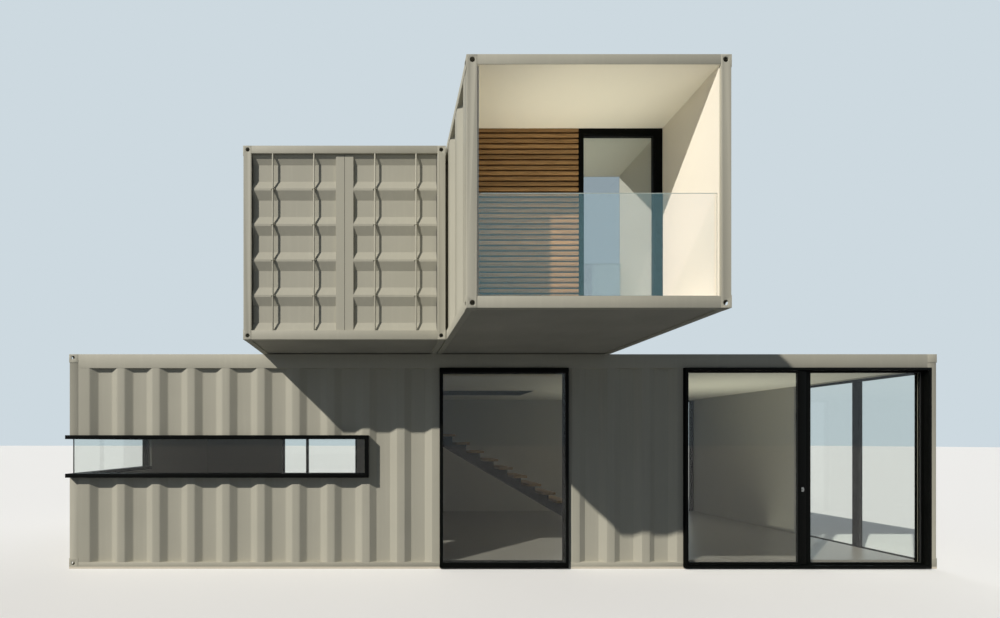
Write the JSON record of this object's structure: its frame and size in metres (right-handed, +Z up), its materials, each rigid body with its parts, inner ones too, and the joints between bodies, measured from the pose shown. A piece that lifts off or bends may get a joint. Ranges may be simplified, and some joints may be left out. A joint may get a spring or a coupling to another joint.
{
  "type": "two-storey shipping container house",
  "caption": "Two-storey house of stacked shipping containers with a ribbon window, a glazed sliding door and an upper terrace.",
  "frame": {"origin": "middle of the ground storey's plan, at ground level under the slab", "axes": "+X to the right along the long boxes seen from the front, +Y to the back, +Z up"},
  "size_m": [12.192, 7.351, 5.345],
  "materials": {
    "box_paint": "satin marine paint on corrugated steel",
    "rod_paint": "satin paint on round steel bar",
    "black_frame": "powder coated near black",
    "lock_metal": "brushed",
    "glass": "clear with a faint blue-grey tint",
    "lining": "matt cream paint on plasterboard",
    "underside": "dark matt coating",
    "floor": "polished screed",
    "concrete": "plain cast concrete",
    "stair_wood": "oiled dark timber",
    "slat_wood": "oiled timber slats"
  },
  "bodies": {
    "house": {"back_glazing_frame": "black_frame", "back_glazing_glass": "glass", "back_lining": "lining", "back_panels": "box_paint", "back_panels_at_window": "box_paint", "back_window_frame": "black_frame", "back_window_glass": "glass", "end_wall_panels": "box_paint", "fixed_leaf_frame": "black_frame", "fixed_leaf_glass": "glass", "foundation_slab": "concrete", "front_lining": "lining", "front_panels_at_ribbon": "box_paint", "front_piers": "box_paint", "ground_bottom_rails": "box_paint", "ground_ceiling": "lining", "ground_corner_posts": "box_paint", "ground_floor": "floor", "ground_roof": "box_paint", "ground_seam_beams": "box_paint", "ground_top_rails": "box_paint", "left_box_corner_posts": "box_paint", "left_box_door_left": "box_paint", "left_box_door_right": "box_paint", "left_box_floor": "underside", "left_box_lock_rods": "rod_paint", "left_box_rails": "box_paint", "left_box_roof": "box_paint", "left_box_walls": "box_paint", "left_end_panels_at_ribbon": "box_paint", "left_lining": "lining", "ribbon_window_frame": "black_frame", "ribbon_window_glass": "glass", "right_box_corner_posts": "box_paint", "right_box_floor": "underside", "right_box_lining": "lining", "right_box_rails": "box_paint", "right_box_roof": "box_paint", "right_box_walls": "box_paint", "right_end_window_frame": "black_frame", "right_end_window_glass": "glass", "right_lining": "lining", "slat_screen": "slat_wood", "sliding_door_frame": "black_frame", "stair_spine": "black_frame", "stair_treads": "stair_wood", "tall_window_frame": "black_frame", "tall_window_glass": "glass", "terrace_door_frame": "black_frame", "terrace_door_glass": "glass", "terrace_guard_glass": "glass"},
    "sliding_leaf": {"sliding_leaf_frame": "black_frame", "sliding_leaf_glass": "glass", "sliding_leaf_lock": "lock_metal"}
  },
  "joints": [
    {"name": "leaf_slide", "type": "slide", "parent": "house", "child": "sliding_leaf", "axis": [1, 0, 0], "range_m": [0, 1.6]}
  ]
}
